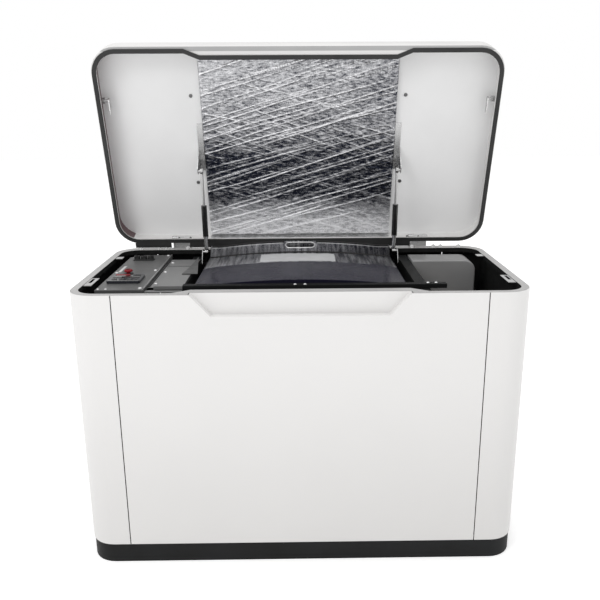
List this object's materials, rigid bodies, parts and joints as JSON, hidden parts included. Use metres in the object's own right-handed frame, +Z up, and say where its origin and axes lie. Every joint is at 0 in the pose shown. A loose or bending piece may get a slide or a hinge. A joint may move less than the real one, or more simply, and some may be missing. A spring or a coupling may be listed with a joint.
{
  "type": "home standby generator",
  "caption": "Box-shaped sheet-metal standby generator enclosure with a gas-strut lid, control bay, gas engine and alternator.",
  "frame": {"origin": "centre of the base tray's underside", "axes": "+X to the right seen from the front, +Y to the back, +Z up"},
  "size_m": [1.2086, 0.646, 1.414],
  "materials": {
    "white": "smooth powder coat",
    "black": "black powder coat",
    "rubber": "matte",
    "rim": "grey powder coat",
    "pad": "foil-faced insulation, wrinkled",
    "steel": "zinc plated",
    "panel": "dark grey powder coat",
    "navy": "gloss black-blue",
    "grey": "grey satin",
    "red": "red",
    "plastic": "black",
    "cast": "as cast",
    "iron": "dark heat-resistant coat",
    "brass": "yellow passivated",
    "foil": "foil faced sheet",
    "gloss": "black"
  },
  "bodies": {
    "cabinet": {"air_cleaner": "plastic", "alternator_stator": "cast", "back_panel": "white", "base_tray": "black", "battery": "plastic", "blower_housing": "black", "control_panel": "panel", "controller": "gloss", "crankcase": "cast", "cylinder_front": "cast", "cylinder_rear": "cast", "engine_cover": "navy", "engine_cradle": "black", "estop_base": "plastic", "exhaust_pipe": "iron", "front_cross_rail": "black", "front_panel": "white", "fuel_inlet": "brass", "gas_regulator": "cast", "hinge_body_leaf_left": "steel", "hinge_body_leaf_right": "steel", "hinge_pin_left": "steel", "hinge_pin_right": "steel", "inner_bay_plate": "panel", "muffler": "iron", "partition_left": "black", "partition_right": "black", "rear_air_duct": "foil", "right_bay_cover": "grey", "side_panel_left": "white", "side_panel_right": "white", "socket_bank": "plastic", "strut_body_bracket_left": "steel", "strut_body_bracket_right": "steel", "top_rim": "rim", "vibration_mount_left_front": "rubber", "vibration_mount_left_rear": "rubber", "vibration_mount_right_front": "rubber", "vibration_mount_right_rear": "rubber"},
    "lid": {"lid_shell": "white", "lid_gasket": "rubber", "lid_foil_pad": "pad", "lid_strut_bracket_left": "steel", "lid_strut_bracket_right": "steel", "hinge_lid_leaf_left": "steel", "hinge_lid_leaf_right": "steel", "latch_barrel_left": "steel", "latch_barrel_right": "steel"},
    "strut_cylinder_left": {"strut_cylinder_left": "gloss"},
    "strut_cylinder_right": {"strut_cylinder_right": "gloss"},
    "strut_rod_left": {"strut_rod_left": "steel"},
    "strut_rod_right": {"strut_rod_right": "steel"},
    "latch_cam_left": {"latch_cam_left": "steel"},
    "latch_cam_right": {"latch_cam_right": "steel"},
    "estop_button": {"estop_button": "red"},
    "controller_button": {"controller_button": "grey"},
    "fuel_valve_lever": {"fuel_valve_lever": "red"},
    "crank_set": {"crankshaft": "steel", "flywheel_fan": "cast", "alternator_rotor": "iron"}
  },
  "joints": [
    {"name": "lid_hinge", "type": "hinge", "parent": "cabinet", "child": "lid", "pos_m": [0, 0.302, 0.811], "axis": [1, 0, 0], "range_deg": [0, 74.67], "stiffness_Nm_per_rad": 24, "springref_deg": -57.3},
    {"name": "strut_swing_left", "type": "hinge", "parent": "cabinet", "child": "strut_cylinder_left", "pos_m": [-0.306, 0.24, 0.775], "axis": [1, 0, 0], "range_deg": [0, 81.31]},
    {"name": "strut_stroke_left", "type": "slide", "parent": "strut_cylinder_left", "child": "strut_rod_left", "axis": [0, -0.1185, 0.993], "range_m": [-0.0832, 0]},
    {"name": "latch_turn_left", "type": "hinge", "parent": "lid", "child": "latch_cam_left", "pos_m": [-0.585, 0.18118, 1.25174], "axis": [-1, 0, 0], "range_deg": [0, 90]},
    {"name": "strut_swing_right", "type": "hinge", "parent": "cabinet", "child": "strut_cylinder_right", "pos_m": [0.306, 0.24, 0.775], "axis": [1, 0, 0], "range_deg": [0, 81.31]},
    {"name": "strut_stroke_right", "type": "slide", "parent": "strut_cylinder_right", "child": "strut_rod_right", "axis": [0, -0.1185, 0.993], "range_m": [-0.0832, 0]},
    {"name": "latch_turn_right", "type": "hinge", "parent": "lid", "child": "latch_cam_right", "pos_m": [0.585, 0.18118, 1.25174], "axis": [-1, 0, 0], "range_deg": [0, 90]},
    {"name": "estop_push", "type": "slide", "parent": "cabinet", "child": "estop_button", "axis": [0, 0, -1], "range_m": [0, 0.004], "stiffness_N_per_m": 400},
    {"name": "controller_button_push", "type": "slide", "parent": "cabinet", "child": "controller_button", "axis": [0, 0, -1], "range_m": [0, 0.0015], "stiffness_N_per_m": 300},
    {"name": "fuel_valve_turn", "type": "hinge", "parent": "cabinet", "child": "fuel_valve_lever", "pos_m": [-0.21, 0.326, 0.219], "axis": [0, 0, 1], "range_deg": [0, 90]},
    {"name": "crank_spin", "type": "hinge", "parent": "cabinet", "child": "crank_set", "pos_m": [0, 0, 0.3], "axis": [1, 0, 0], "continuous": true}
  ],
  "couplings": [
    {"joint": "strut_swing_left", "follows": "lid_hinge", "ratio": 1.0889},
    {"joint": "strut_stroke_left", "follows": "lid_hinge", "m_per_rad": -0.063809},
    {"joint": "strut_swing_right", "follows": "lid_hinge", "ratio": 1.0889},
    {"joint": "strut_stroke_right", "follows": "lid_hinge", "m_per_rad": -0.063809}
  ]
}
